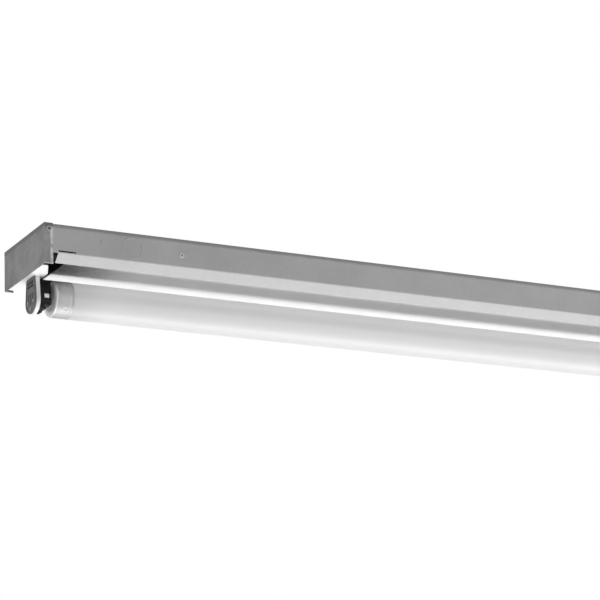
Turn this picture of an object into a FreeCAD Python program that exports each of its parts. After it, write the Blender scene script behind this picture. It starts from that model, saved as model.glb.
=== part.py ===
import FreeCAD, Part
import math
import os
import Sketcher

# One-lamp fluorescent strip light, hung from a ceiling.
# X runs along the lamp, Y across the channel, Z up.
# The origin is the middle of the channel's top face, which lies on the ceiling.

os.makedirs("parts", exist_ok=True)
doc = FreeCAD.newDocument("StripLight")
sheet = doc.addObject("Spreadsheet::Sheet", "Sizes")
nodes = []


# Sizes and formulas

class Size:
    """A number with the sheet formula that gives it."""

    def __init__(self, number, text):
        self.number = number
        self.text = text

    def joined(self, sign, other, number):
        return Size(number, f"({self.text} {sign} {other.text})")

    def __add__(self, other):
        other = as_size(other)
        return self.joined("+", other, self.number + other.number)

    def __sub__(self, other):
        other = as_size(other)
        return self.joined("-", other, self.number - other.number)

    def __mul__(self, other):
        other = as_size(other)
        return self.joined("*", other, self.number * other.number)

    def __truediv__(self, other):
        other = as_size(other)
        return self.joined("/", other, self.number / other.number)

    def __neg__(self):
        return Size(-self.number, f"(0 - {self.text})")

    def root(self):
        return Size(math.sqrt(self.number), f"sqrt({self.text})")


def as_size(value):
    return value if isinstance(value, Size) else Size(value, f"({value})")


def size(alias, number, note):
    row = len(sheet.getUsedCells()) // 2 + 1
    sheet.set(f"A{row}", note)
    sheet.set(f"B{row}", str(number))
    sheet.setAlias(f"B{row}", alias)
    return Size(number, f"Sizes.{alias}")


# Lamp
lamp_length = size("lamp_length", 1199.4, "cap face to cap face")
lamp_diameter = size("lamp_diameter", 38.1, "glass outside")
glass_wall = size("glass_wall", 0.8, "tube wall")
glass_end = size("glass_end", 1.0, "closed end of the tube")
lamp_cap_length = size("lamp_cap_length", 20, "metal cap along the lamp")
lamp_cap_wall = size("lamp_cap_wall", 0.6, "metal cap wall")
lamp_cap_step = size("lamp_cap_step", 0.05, "cap radius under the glass radius")
lamp_cap_play = size("lamp_cap_play", 0.1, "cement gap between cap and glass")
disc_radius = size("disc_radius", 13, "insulating disc of the cap")
disc_recess = size("disc_recess", 0.2, "disc face behind the cap face")
disc_thickness = size("disc_thickness", 1.8, "insulating disc")
pin_diameter = size("pin_diameter", 2.35, "contact pin")
pin_spacing = size("pin_spacing", 12.7, "contact pins, centre to centre")
pin_reach = size("pin_reach", 7.1, "pin beyond the cap face")
stem_radius = size("stem_radius", 6, "cathode stem at its foot")
stem_tip_radius = size("stem_tip_radius", 3.4, "cathode stem at its tip")
stem_length = size("stem_length", 16, "cathode stem")
post_radius = size("post_radius", 0.5, "cathode post")
post_length = size("post_length", 15, "cathode post beyond the stem")
post_spacing = size("post_spacing", 4.4, "cathode posts, centre to centre")
coil_radius = size("coil_radius", 0.8, "cathode coil")
coil_overhang = size("coil_overhang", 1.2, "cathode coil beyond its posts")

# Housing
end_space = size("end_space", 28, "outer face of the end plate to the lamp cap's face")
channel_width = size("channel_width", 106.4, "channel outside")
sheet_thickness = size("sheet_thickness", 0.9, "channel sheet")
bend_radius = size("bend_radius", 1.0, "inside of a fold")
side_drop = size("side_drop", 30.2, "straight side of the channel")
bevel_inset = size("bevel_inset", 10, "bevelled lip across")
bevel_drop = size("bevel_drop", 8.2, "bevelled lip down")
lip_setback = size("lip_setback", 15.6, "end plate to the lip's end")
slit_length = size("slit_length", 19, "slit beyond the lip's end")
slit_width = size("slit_width", 1.5, "slit at the fold of the lip")
slit_rise = size("slit_rise", 0.8, "slit above the fold of the lip")
overrun = size("overrun", 3, "how far cutting bodies run past the metal")

# Holes of the channel
knockout_radius = size("knockout_radius", 11.1, "knockout hole")
knockout_gap = size("knockout_gap", 0.35, "groove round a knockout disc")
knockout_nib = size("knockout_nib", 2.4, "width of the nibs that hold a disc")
side_knockout_setback = size("side_knockout_setback", 97, "end plate to side knockout")
side_knockout_drop = size("side_knockout_drop", 16.4, "top to side knockout")
top_knockout_place = size("top_knockout_place", 190.5, "middle to top knockout")
dimple_radius = size("dimple_radius", 1.8, "dimple in the side")
dimple_depth = size("dimple_depth", 0.3, "dimple in the side")
dimple_setback = size("dimple_setback", 60.6, "end plate to the dimple")
dimple_drop = size("dimple_drop", 14.2, "top to the dimple")
mount_hole_radius = size("mount_hole_radius", 3.6, "ceiling screw hole")
mount_setback = size("mount_setback", 68.9, "end plate to the ceiling screws")
mount_spacing_wide = size("mount_spacing_wide", 60, "ceiling screws across the channel")

# End caps
cap_sheet = size("cap_sheet", 0.8, "end cap sheet")
cap_height = size("cap_height", 42.9, "end plate")
flange_depth = size("flange_depth", 9.4, "side flange along the channel")
flange_notch_drop = size("flange_notch_drop", 24, "top to the notch in a side flange")
flange_notch_width = size("flange_notch_width", 4, "notch in a side flange")
flange_notch_depth = size("flange_notch_depth", 3, "notch in a side flange")
top_flange_depth = size("top_flange_depth", 14, "top flange along the channel")
top_flange_inset = size("top_flange_inset", 8, "channel side to the top flange's end")
shelf_depth = size("shelf_depth", 17, "shelf over the lampholder along the channel")
shelf_width = size("shelf_width", 42, "shelf across at its free edge")
shelf_corner_depth = size("shelf_corner_depth", 7, "end plate to the shelf's sloped corners")
shelf_foot_width = size("shelf_foot_width", 92, "shelf across at the end plate")
rivet_radius = size("rivet_radius", 1.6, "rivet shank")
rivet_head_radius = size("rivet_head_radius", 3, "rivet head")
rivet_head_height = size("rivet_head_height", 0.9, "rivet head")
rivet_play = size("rivet_play", 0.05, "rivet shank in its hole")
cap_rivet_drop = size("cap_rivet_drop", 6.4, "top to the end cap's rivet")
cap_rivet_setback = size("cap_rivet_setback", 5, "end plate to the end cap's rivet")

# Cover, its bridges and latches
cover_sheet = size("cover_sheet", 0.8, "cover sheet")
cover_recess = size("cover_recess", 9, "lip's lower edge up to the cover's face")
cover_gap = size("cover_gap", 2, "lip's edge to the cover's edge")
cover_flange = size("cover_flange", 6, "turned-up edge of the cover")
cover_setback = size("cover_setback", 37, "end plate to the cover's end")
bridge_setback = size("bridge_setback", 152, "end plate to the middle of a bridge")
bridge_width = size("bridge_width", 20, "bridge along the channel")
bridge_sheet = size("bridge_sheet", 1, "bridge sheet")
bridge_tab = size("bridge_tab", 13, "tab of a bridge up the channel's side")
bridge_rivet_rise = size("bridge_rivet_rise", 5.5, "foot of the tab to its rivet")
latch_offset = size("latch_offset", 31.5, "middle line to the latches")
latch_head_radius = size("latch_head_radius", 6.5, "latch head")
latch_head_height = size("latch_head_height", 2.4, "latch head")
latch_slot_width = size("latch_slot_width", 1.6, "screwdriver slot")
latch_slot_depth = size("latch_slot_depth", 1.1, "screwdriver slot")
latch_shank_radius = size("latch_shank_radius", 2.5, "latch shank")
latch_bar_length = size("latch_bar_length", 14, "cross bar of the latch")
latch_bar_width = size("latch_bar_width", 3, "cross bar of the latch")
latch_bar_height = size("latch_bar_height", 2.5, "cross bar of the latch")
latch_play = size("latch_play", 0.3, "latch to cover and bridge")
shank_play = size("shank_play", 0.08, "latch shank in its holes")

# Lampholders
lamp_drop = size("lamp_drop", 20, "end plate's lower edge down to the lamp's axis")
holder_setback = size("holder_setback", 5.2, "inside of the end plate to the holder")
holder_back_thickness = size("holder_back_thickness", 2, "back cover of the holder")
holder_body_thickness = size("holder_body_thickness", 4.2, "body of the holder")
holder_front_thickness = size("holder_front_thickness", 12.3, "black front of the holder")
holder_wall = size("holder_wall", 1.1, "front wall of the body")
holder_side_wall = size("holder_side_wall", 3.2, "side wall of the body")
holder_radius = size("holder_radius", 13.2, "round end of the holder")
holder_round_drop = size("holder_round_drop", 4.4, "lamp's axis to the round end's centre")
holder_neck_width = size("holder_neck_width", 21, "holder under the shelf")
holder_step = size("holder_step", 0.9, "black front inside the body's outline")
front_top_gap = size("front_top_gap", 5, "shelf to the black front")
front_foot = size("front_foot", 4.8, "full outline of the front along the channel")
nose_rim = size("nose_rim", 1, "rotor to the nose's lower edge")
stem_width = size("stem_width", 16.4, "stem of the holder through the shelf")
stem_play = size("stem_play", 0.2, "stem in its opening")
hook_width = size("hook_width", 20, "hooks of the stem over the shelf")
hook_height = size("hook_height", 2.2, "hooks of the stem over the shelf")
front_back_wall = size("front_back_wall", 2, "wall behind the rotor")
rotor_radius = size("rotor_radius", 8.7, "rotor")
rotor_play = size("rotor_play", 0.1, "rotor in its bore")
rotor_end_play = size("rotor_end_play", 0.3, "rotor to the wall behind it")
rotor_groove_depth = size("rotor_groove_depth", 7.2, "groove for the pins")
rotor_groove_play = size("rotor_groove_play", 0.3, "groove beside a pin")
rotor_stub_radius = size("rotor_stub_radius", 2.4, "stub behind the rotor")
rotor_stub_length = size("rotor_stub_length", 1.6, "stub behind the rotor")
entry_play = size("entry_play", 0.5, "entry slot beside a pin")
contact_sheet = size("contact_sheet", 0.5, "contact strip")
contact_height = size("contact_height", 5, "contact arm")
contact_gap = size("contact_gap", 0.3, "contact arm to the rotor")
contact_play = size("contact_play", 0.1, "contact arm in its slots")
contact_tail_rise = size("contact_tail_rise", 8, "lamp's axis to the tail's upper end")
contact_tail_start = size("contact_tail_start", 2.2, "middle to the tail's inner side")
contact_arm_gap = size("contact_arm_gap", 1.5, "arm's end behind the holder's face")

# Ballast
ballast_length = size("ballast_length", 235, "can")
ballast_width = size("ballast_width", 58, "can")
ballast_height = size("ballast_height", 24, "can")
ballast_wall = size("ballast_wall", 0.6, "can wall")
ballast_base = size("ballast_base", 0.9, "base plate")
ballast_ear = size("ballast_ear", 15, "base plate beyond the can")
filling_gap = size("filling_gap", 9, "filling to the can's end")
bushing_length = size("bushing_length", 7, "bushing")
bushing_outside = size("bushing_outside", 1.5, "bushing outside the can")
bushing_rim = size("bushing_rim", 2.2, "bushing round its wires")
screw_radius = size("screw_radius", 2, "screw shank")
screw_play = size("screw_play", 0.1, "screw shank in its hole")
screw_head_radius = size("screw_head_radius", 4, "screw head")
screw_head_height = size("screw_head_height", 2.4, "screw head")

# Wiring
wire_radius = size("wire_radius", 1, "insulated wire")
wire_play = size("wire_play", 0.1, "wire in its hole")
wire_pitch = size("wire_pitch", 7, "lamp wires, centre to centre")
wire_level = size("wire_level", 8, "top face to the wires")
wire_bend = size("wire_bend", 19, "bend over the lampholder")
wire_end_rise = size("wire_end_rise", 9, "lamp's axis to the wires' lower ends")
supply_pitch = size("supply_pitch", 12, "supply leads, centre to centre")
supply_offset = size("supply_offset", 19, "middle to the supply leads' middle")
supply_length = size("supply_length", 60, "supply leads outside the bushing")
connector_length = size("connector_length", 22, "wire connector")
connector_radius = size("connector_radius", 5.2, "wire connector's mouth")
connector_tip_radius = size("connector_tip_radius", 3.2, "wire connector's tip")
clip_length = size("clip_length", 8, "wire clip along the wires")
clip_rim = size("clip_rim", 1.8, "clip round its wires")
clip_first = size("clip_first", 75, "end plate to the first clip")
clip_last = size("clip_last", 105.2, "can's end to the last clip")
clips_per_side = 3
ground_place = size("ground_place", 240, "middle to the ground screw")
ground_offset = size("ground_offset", 26, "middle line to the ground screw")
ground_radius = size("ground_radius", 4.6, "hexagon head of the ground screw")
washer_radius = size("washer_radius", 5.6, "washer of the ground screw")
washer_height = size("washer_height", 0.8, "washer of the ground screw")

# Places that several pieces share
half_length = lamp_length / 2 + end_space
half_channel = channel_width / 2
half_cap = half_channel + cap_sheet
lip_edge = half_channel - bevel_inset
lip_level = -(side_drop + bevel_drop)
cover_level = lip_level + cover_recess
cover_half = lip_edge - cover_gap
bridge_level = cover_level + cover_flange
shelf_level = -cap_height
lamp_level = shelf_level - lamp_drop
round_level = lamp_level - holder_round_drop
lamp_radius = lamp_diameter / 2
holder_back = cap_sheet + holder_setback
holder_body_start = holder_back + holder_back_thickness
holder_front_start = holder_body_start + holder_body_thickness
holder_face = holder_front_start + holder_front_thickness
wire_setback = holder_body_start + wire_radius + wire_play
ballast_end = ballast_length / 2
doc.recompute()


def from_end(side, distance):
    """X of a place that lies this far inside the end plate's outer face."""
    return (half_length - distance) * side


# Shapes

def ends(span):
    first, second = as_size(span[0]), as_size(span[1])
    return (first, second) if first.number <= second.number else (second, first)


def block(name, xs, ys, zs):
    shape = doc.addObject("Part::Box", name)
    for side, axis, span in (("Length", "x", xs), ("Width", "y", ys), ("Height", "z", zs)):
        low, high = ends(span)
        shape.setExpression(side, (high - low).text)
        shape.setExpression(f"Placement.Base.{axis}", low.text)
    return shape


turns = {
    "x": FreeCAD.Rotation(FreeCAD.Vector(0, 1, 0), 90),
    "y": FreeCAD.Rotation(FreeCAD.Vector(1, 0, 0), -90),
    "z": FreeCAD.Rotation(),
}


def stand(shape, axis, low, centre):
    shape.Placement = FreeCAD.Placement(FreeCAD.Vector(), turns[axis])
    places = list(centre)
    places.insert("xyz".index(axis), low)
    for letter, place in zip("xyz", places):
        shape.setExpression(f"Placement.Base.{letter}", as_size(place).text)


def rod(name, axis, span, centre, radius):
    low, high = ends(span)
    shape = doc.addObject("Part::Cylinder", name)
    shape.setExpression("Radius", radius.text)
    shape.setExpression("Height", (high - low).text)
    stand(shape, axis, low, centre)
    return shape


def taper(name, axis, span, centre, radii):
    """A cone whose radii belong to the ends of the span, in that order."""
    low, high = ends(span)
    first, last = radii if low.number == as_size(span[0]).number else radii[::-1]
    shape = doc.addObject("Part::Cone", name)
    shape.setExpression("Radius1", first.text)
    shape.setExpression("Radius2", last.text)
    shape.setExpression("Height", (high - low).text)
    stand(shape, axis, low, centre)
    return shape


def gather(name, shapes):
    group = doc.addObject("Part::Compound", name)
    group.Links = shapes
    return group


def carve(name, base, tools):
    shape = doc.addObject("Part::Cut", name)
    shape.Base = base
    shape.Tool = gather(f"{name}_tools", tools)
    return shape


def join(name, shapes):
    shape = doc.addObject("Part::MultiFuse", name)
    shape.Shapes = shapes
    shape.Refine = True
    return shape


def overlap(name, base, tool):
    shape = doc.addObject("Part::Common", name)
    shape.Base = base
    shape.Tool = tool
    return shape


def pin_point(number, letter, place):
    """The constraint that holds a sketch point at a signed distance from the origin."""
    if place.number == 0:
        return Sketcher.Constraint("PointOnObject", number, 1, -2 if letter == "X" else -1)
    return Sketcher.Constraint(f"Distance{letter}", -1, 1, number, 1, place.number)


def profile(name, points, span):
    """A body padded along X from an outline of (y, z) points."""
    low, high = ends(span)
    points = [(as_size(across), as_size(up)) for across, up in points]
    body = doc.addObject("PartDesign::Body", f"{name}_body")
    sketch = body.newObject("Sketcher::SketchObject", f"{name}_sketch")
    plane = [item for item in body.Origin.OriginFeatures if item.Role == "YZ_Plane"][0]
    sketch.AttachmentSupport = (plane, "")
    sketch.MapMode = "FlatFace"
    corners = [FreeCAD.Vector(across.number, up.number, 0) for across, up in points]
    for number, corner in enumerate(corners):
        sketch.addGeometry(Part.LineSegment(corner, corners[(number + 1) % len(corners)]), False)
    for number in range(len(points)):
        sketch.addConstraint(
            Sketcher.Constraint("Coincident", number, 2, (number + 1) % len(points), 1)
        )
    for number, point in enumerate(points):
        for letter, place in zip("XY", point):
            index = sketch.addConstraint(pin_point(number, letter, place))
            if place.number != 0:
                sketch.setExpression(f"Constraints[{index}]", place.text)
    pad = body.newObject("PartDesign::Pad", f"{name}_pad")
    pad.Profile = sketch
    pad.setExpression("Length", (high - low).text)
    sketch.Visibility = False
    body.setExpression("Placement.Base.x", low.text)
    doc.recompute()
    return body


def round_folds(body, name, corners, radius):
    """Rounds the long edges that run along X through the given (y, z) corners."""
    base = body.Tip
    wanted = [(as_size(across).number, as_size(up).number) for across, up in corners]
    names = []
    for number, edge in enumerate(base.Shape.Edges):
        first, last = edge.Vertexes[0].Point, edge.Vertexes[-1].Point
        for across, up in wanted:
            reach = max(abs(spot.y - across) + abs(spot.z - up) for spot in (first, last))
            if reach < Part.Precision.confusion() * len(base.Shape.Edges):
                names.append(f"Edge{number + 1}")
    fillet = body.newObject("PartDesign::Fillet", name)
    fillet.Base = (base, names)
    fillet.setExpression("Radius", radius.text)
    doc.recompute()


def node(label, shape):
    shape.Label = label
    nodes.append(shape)


def side_name(side):
    return "left" if side < 0 else "right"


sides = (-1, 1)


# Channel

def make_channel():
    slope = (bevel_inset * bevel_inset + bevel_drop * bevel_drop).root()
    inner_fold = -side_drop + sheet_thickness * (slope - bevel_drop) / bevel_inset
    inner_lip_y = lip_edge - sheet_thickness * bevel_drop / slope
    inner_lip_z = lip_level + sheet_thickness * bevel_inset / slope
    inner_side = half_channel - sheet_thickness
    half_outline = [
        (half_channel, 0), (half_channel, -side_drop), (lip_edge, lip_level),
        (inner_lip_y, inner_lip_z), (inner_side, inner_fold), (inner_side, -sheet_thickness),
    ]
    outline = half_outline + [(-across, up) for across, up in reversed(half_outline)]
    body = profile("channel", outline, (from_end(-1, cap_sheet), from_end(1, cap_sheet)))
    inner = [(inner_side * side, -sheet_thickness) for side in sides]
    inner += [(inner_side * side, inner_fold) for side in sides]
    outer = [(half_channel * side, 0) for side in sides]
    outer += [(half_channel * side, -side_drop) for side in sides]
    round_folds(body, "channel_inner_folds", inner, bend_radius)
    round_folds(body, "channel_outer_folds", outer, bend_radius + sheet_thickness)
    node("channel", carve("channel_cut", body, channel_cuts()))


def channel_cuts():
    across = (-half_channel - overrun, half_channel + overrun)
    through_top = (-sheet_thickness - overrun, overrun)
    cuts = []
    for side in sides:
        name = side_name(side)
        lip = (from_end(side, -overrun), from_end(side, lip_setback))
        slit = (from_end(side, lip_setback), from_end(side, lip_setback + slit_length))
        slit_z = (-side_drop + slit_rise, -side_drop + slit_rise + slit_width)
        cuts.append(block(f"lip_notch_{name}", lip, across, (lip_level - overrun, -side_drop)))
        cuts.append(block(f"lip_slit_{name}", slit, across, slit_z))
        knockout = (from_end(side, side_knockout_setback), -side_knockout_drop)
        cuts.append(rod(f"side_knockout_hole_{name}", "y", across, knockout, knockout_radius))
        dimple = (from_end(side, dimple_setback), -dimple_drop)
        for wide in sides:
            skin = ((half_channel - dimple_depth) * wide, (half_channel + overrun) * wide)
            number = f"{name}_{side_name(wide)}"
            cuts.append(rod(f"dimple_{number}", "y", skin, dimple, dimple_radius))
        top = (top_knockout_place * side, 0)
        cuts.append(rod(f"top_knockout_hole_{name}", "z", through_top, top, knockout_radius))
        for kind, place in (("cap", cap_rivet_place(side)), ("bridge", bridge_rivet_place(side))):
            hole = rivet_radius + rivet_play
            cuts.append(rod(f"{kind}_rivet_hole_{name}", "y", across, place, hole))
        screw = (ballast_screw_place(side), 0)
        hole = screw_radius + screw_play
        cuts.append(rod(f"ballast_screw_hole_{name}", "z", through_top, screw, hole))
        for wide in sides:
            place = (from_end(side, mount_setback), mount_spacing_wide * wide / 2)
            number = f"{name}_{side_name(wide)}"
            cuts.append(rod(f"mount_hole_{number}", "z", through_top, place, mount_hole_radius))
    ground = (-ground_place, ground_offset)
    cuts.append(rod("ground_hole", "z", through_top, ground, screw_radius + screw_play))
    return cuts


def cap_rivet_place(side):
    return from_end(side, cap_rivet_setback), -cap_rivet_drop


def bridge_rivet_place(side):
    return from_end(side, bridge_setback), bridge_level + bridge_rivet_rise


def ballast_screw_place(side):
    return (ballast_end + ballast_ear / 2) * side


def knockout(name, axis, span, centre):
    """A disc with two nibs that reach the edge of its hole."""
    disc = rod(f"{name}_disc", axis, span, centre, knockout_radius - knockout_gap)
    hole = rod(f"{name}_reach", axis, span, centre, knockout_radius)
    nib = (centre[0] - knockout_nib / 2, centre[0] + knockout_nib / 2)
    reach = (as_size(centre[1]) - knockout_radius, as_size(centre[1]) + knockout_radius)
    if axis == "y":
        bar = block(f"{name}_bar", nib, span, reach)
    else:
        bar = block(f"{name}_bar", nib, reach, span)
    return join(name, [disc, overlap(f"{name}_nibs", bar, hole)])


def make_knockouts():
    for side in sides:
        name = side_name(side)
        centre = (from_end(side, side_knockout_setback), -side_knockout_drop)
        discs = []
        for wide in sides:
            wall = (half_channel * wide, (half_channel - sheet_thickness) * wide)
            discs.append(knockout(f"side_knockout_{name}_{side_name(wide)}", "y", wall, centre))
        top = (top_knockout_place * side, 0)
        discs.append(knockout(f"top_knockout_{name}", "z", (-sheet_thickness, 0), top))
        node(f"knockouts_{name}", gather(f"knockout_set_{name}", discs))


# End caps

def make_shelf_tongue(side):
    """The part of the shelf whose sides slope in towards its free edge."""
    tongue = doc.addObject("Part::Wedge", f"shelf_tongue_{side_name(side)}")
    spans = {
        "X": (-shelf_foot_width / 2, shelf_foot_width / 2),
        "Y": (shelf_corner_depth, shelf_depth),
        "Z": (shelf_level, shelf_level + cap_sheet),
        "X2": (-shelf_width / 2, shelf_width / 2),
        "Z2": (shelf_level, shelf_level + cap_sheet),
    }
    for letter, (low, high) in spans.items():
        tongue.setExpression(f"{letter}min", low.text)
        tongue.setExpression(f"{letter}max", high.text)
    quarter = FreeCAD.Rotation(FreeCAD.Vector(0, 0, 1), 90 * side)
    tongue.Placement = FreeCAD.Placement(FreeCAD.Vector(), quarter)
    tongue.setExpression("Placement.Base.x", from_end(side, 0).text)
    return tongue


def make_end_cap(side):
    name = side_name(side)
    height = (-cap_height, 0)
    parts = [
        block(f"end_plate_{name}", (from_end(side, 0), from_end(side, cap_sheet)),
              (-half_cap, half_cap), height),
        block(f"top_flange_{name}", (from_end(side, cap_sheet), from_end(side, top_flange_depth)),
              (-(half_channel - top_flange_inset), half_channel - top_flange_inset),
              (-sheet_thickness - cap_sheet, -sheet_thickness)),
        block(f"shelf_foot_{name}", (from_end(side, cap_sheet), from_end(side, shelf_corner_depth)),
              (-shelf_foot_width / 2, shelf_foot_width / 2),
              (shelf_level, shelf_level + cap_sheet)),
        make_shelf_tongue(side),
    ]
    for wide in sides:
        depth = (from_end(side, cap_sheet), from_end(side, flange_depth))
        wall = (half_channel * wide, half_cap * wide)
        parts.append(block(f"flange_{name}_{side_name(wide)}", depth, wall, height))
    across = (-half_cap - overrun, half_cap + overrun)
    stem = stem_width / 2 + stem_play
    opening = (from_end(side, holder_body_start - stem_play),
               from_end(side, holder_front_start + stem_play))
    notch = (from_end(side, flange_depth - flange_notch_depth),
             from_end(side, flange_depth + overrun))
    notch_z = (-flange_notch_drop - flange_notch_width / 2,
               -flange_notch_drop + flange_notch_width / 2)
    tools = [
        block(f"stem_opening_{name}", opening, (-stem, stem),
              (shelf_level - overrun, shelf_level + cap_sheet + overrun)),
        block(f"flange_notch_{name}", notch, across, notch_z),
        rod(f"cap_rivet_cut_{name}", "y", across, cap_rivet_place(side),
            rivet_radius + rivet_play),
    ]
    node(f"end_cap_{name}", carve(f"end_cap_cut_{name}", join(f"end_cap_sheet_{name}", parts), tools))


def rivet(name, wide, outer, inner, centre):
    """A rivet across a side wall: head outside, shank through, upset end inside."""
    outside = outer + rivet_head_height
    inside = inner - rivet_head_height
    head = taper(f"{name}_head", "y", (outer * wide, outside * wide), centre,
                 (rivet_head_radius, rivet_radius))
    shank = rod(f"{name}_shank", "y", (outer * wide, inside * wide), centre, rivet_radius)
    upset = rod(f"{name}_upset", "y", (inner * wide, inside * wide), centre,
                (rivet_head_radius + rivet_radius) / 2)
    return join(name, [head, shank, upset])


def make_rivets():
    inner_side = half_channel - sheet_thickness
    for kind, place, outer, inner in (
        ("end_cap_rivets", cap_rivet_place, half_cap, inner_side),
        ("bridge_rivets", bridge_rivet_place, half_channel, inner_side - bridge_sheet),
    ):
        rivets = []
        for side in sides:
            for wide in sides:
                name = f"{kind}_{side_name(side)}_{side_name(wide)}"
                rivets.append(rivet(name, wide, outer, inner, place(side)))
        node(kind, gather(f"{kind}_set", rivets))


# Cover, bridges and latches

def make_cover():
    top = cover_level + cover_flange
    inner = cover_half - cover_sheet
    half_outline = [
        (cover_half, cover_level), (cover_half, top), (inner, top),
        (inner, cover_level + cover_sheet),
    ]
    outline = half_outline + [(-across, up) for across, up in reversed(half_outline)]
    body = profile("cover", outline, (from_end(-1, cover_setback), from_end(1, cover_setback)))
    round_folds(body, "cover_inner_folds",
                [(inner * side, cover_level + cover_sheet) for side in sides], bend_radius)
    round_folds(body, "cover_outer_folds",
                [(cover_half * side, cover_level) for side in sides], bend_radius + cover_sheet)
    through = (cover_level - overrun, cover_level + cover_sheet + overrun)
    cuts = [rod(f"cover_latch_hole_{side_name(side)}", "z", through, latch_place(side),
                latch_shank_radius + shank_play) for side in sides]
    node("cover", carve("cover_cut", body, cuts))


def latch_place(side):
    return from_end(side, bridge_setback), -latch_offset


def make_bridge(side):
    name = side_name(side)
    middle, across = latch_place(side)
    along = (middle - bridge_width / 2, middle + bridge_width / 2)
    inner_side = half_channel - sheet_thickness
    parts = [block(f"bridge_strap_{name}", along, (-inner_side, inner_side),
                   (bridge_level, bridge_level + bridge_sheet))]
    for wide in sides:
        tab = (inner_side * wide, (inner_side - bridge_sheet) * wide)
        parts.append(block(f"bridge_tab_{name}_{side_name(wide)}", along, tab,
                           (bridge_level, bridge_level + bridge_tab)))
    through = (bridge_level - overrun, bridge_level + bridge_sheet + overrun)
    half_slot = latch_bar_length / 2 + latch_play
    half_width = latch_bar_width / 2 + latch_play
    tools = [
        rod(f"bridge_hole_{name}", "z", through, (middle, across), latch_shank_radius + shank_play),
        block(f"bridge_slot_{name}", (middle - half_width, middle + half_width),
              (across - half_slot, across + half_slot), through),
        rod(f"bridge_rivet_cut_{name}", "y", (-half_cap, half_cap), bridge_rivet_place(side),
            rivet_radius + rivet_play),
    ]
    node(f"bridge_{name}", carve(f"bridge_cut_{name}", join(f"bridge_sheet_{name}", parts), tools))


def make_latch(side):
    name = side_name(side)
    middle, across = latch_place(side)
    centre = (middle, across)
    head_top = cover_level - latch_play
    head_low = head_top - latch_head_height
    bar_low = bridge_level + bridge_sheet + latch_play
    bar_top = bar_low + latch_bar_height
    parts = [
        rod(f"latch_head_{name}", "z", (head_low, head_top), centre, latch_head_radius),
        rod(f"latch_shank_{name}", "z", (head_low, bar_top), centre, latch_shank_radius),
        block(f"latch_bar_{name}",
              (middle - latch_bar_length / 2, middle + latch_bar_length / 2),
              (across - latch_bar_width / 2, across + latch_bar_width / 2), (bar_low, bar_top)),
    ]
    slot = block(f"latch_slot_{name}",
                 (middle - latch_head_radius - overrun, middle + latch_head_radius + overrun),
                 (across - latch_slot_width / 2, across + latch_slot_width / 2),
                 (head_low - overrun, head_low + latch_slot_depth))
    node(f"latch_{name}", carve(f"latch_cut_{name}", join(f"latch_blank_{name}", parts), [slot]))


# Lampholders

def holder_outline(name, side, span, top, step):
    """A neck that widens down to a round end, inside the full outline by the step."""
    radius = holder_radius - step
    neck = holder_neck_width / 2 - step
    outline = [(-neck, top), (neck, top), (radius, round_level), (-radius, round_level)]
    xs = (from_end(side, span[0]), from_end(side, span[1]))
    return [
        profile(f"{name}_neck", outline, xs),
        rod(f"{name}_round", "x", xs, (0, round_level), radius),
    ]


def contact_reach():
    return rotor_radius + rotor_play + contact_gap


def make_holder_back(side):
    name = f"holder_back_{side_name(side)}"
    span = (holder_back, holder_body_start)
    node(name, join(f"{name}_plate", holder_outline(name, side, span, shelf_level, 0)))


def make_holder_body(side):
    name = f"holder_body_{side_name(side)}"
    span = (holder_body_start, holder_front_start)
    xs = (from_end(side, span[0]), from_end(side, span[1]))
    hook_level = shelf_level + cap_sheet + stem_play
    hook_top = hook_level + hook_height
    parts = holder_outline(name, side, span, shelf_level, 0) + [
        block(f"{name}_stem", xs, (-stem_width / 2, stem_width / 2), (shelf_level, hook_top)),
        block(f"{name}_hooks", xs, (-hook_width / 2, hook_width / 2), (hook_level, hook_top)),
    ]
    hollow = (from_end(side, holder_body_start - overrun),
              from_end(side, holder_front_start - holder_wall))
    wire_room = wire_pitch / 2 + wire_radius + wire_play
    half_room = holder_radius - holder_side_wall
    through_wall = (from_end(side, holder_front_start - holder_wall - overrun),
                    from_end(side, holder_front_start + overrun))
    tools = [
        block(f"{name}_wire_room", hollow, (-wire_room, wire_room),
              (lamp_level, hook_top + overrun)),
        block(f"{name}_contact_room", hollow, (-half_room, half_room),
              (lamp_level - contact_height, lamp_level + contact_tail_rise + holder_wall)),
    ]
    for wide in sides:
        arm = (contact_reach() - contact_play, contact_reach() + contact_sheet + contact_play)
        half = contact_height / 2 + contact_play
        tools.append(block(f"{name}_arm_slot_{side_name(wide)}", through_wall,
                           (arm[0] * wide, arm[1] * wide), (lamp_level - half, lamp_level + half)))
    node(name, carve(f"{name}_cut", join(f"{name}_blank", parts), tools))


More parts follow.
